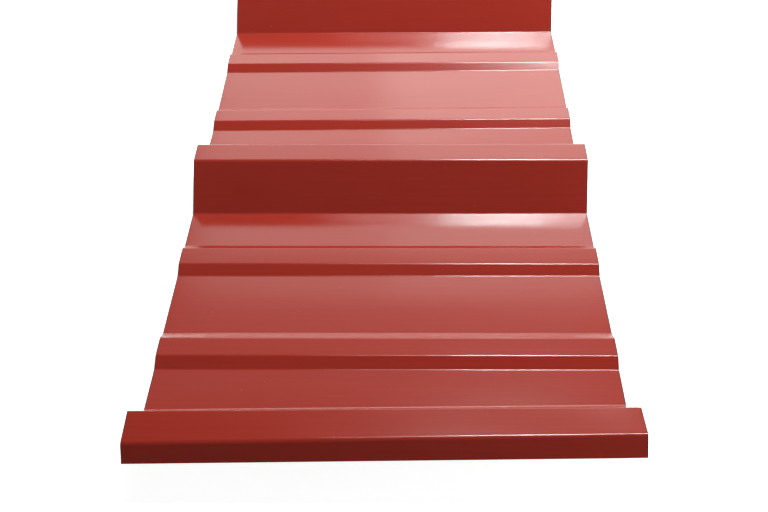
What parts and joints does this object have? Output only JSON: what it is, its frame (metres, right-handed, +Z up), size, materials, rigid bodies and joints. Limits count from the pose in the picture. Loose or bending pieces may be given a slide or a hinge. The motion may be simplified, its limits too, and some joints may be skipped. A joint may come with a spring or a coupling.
{
  "type": "ribbed metal roof panel",
  "caption": "Trapezoidal-rib steel roof panel cut to a short length, with minor ribs in its flat pans and short turned-down legs at both side laps.",
  "frame": {"origin": "under the middle of the sheet, on the level that its pans rest on", "axes": "+X along the ribs, +Y across the panel from the lapping edge to the lapped edge, +Z up, the way the ribs stand"},
  "size_m": [0.3174, 0.9562, 0.0364],
  "materials": {
    "painted_steel": "semi-gloss red polyester paint on galvanised steel, smooth roller-coated"
  },
  "bodies": {
    "root": {"roof_panel": "painted_steel"}
  },
  "joints": []
}
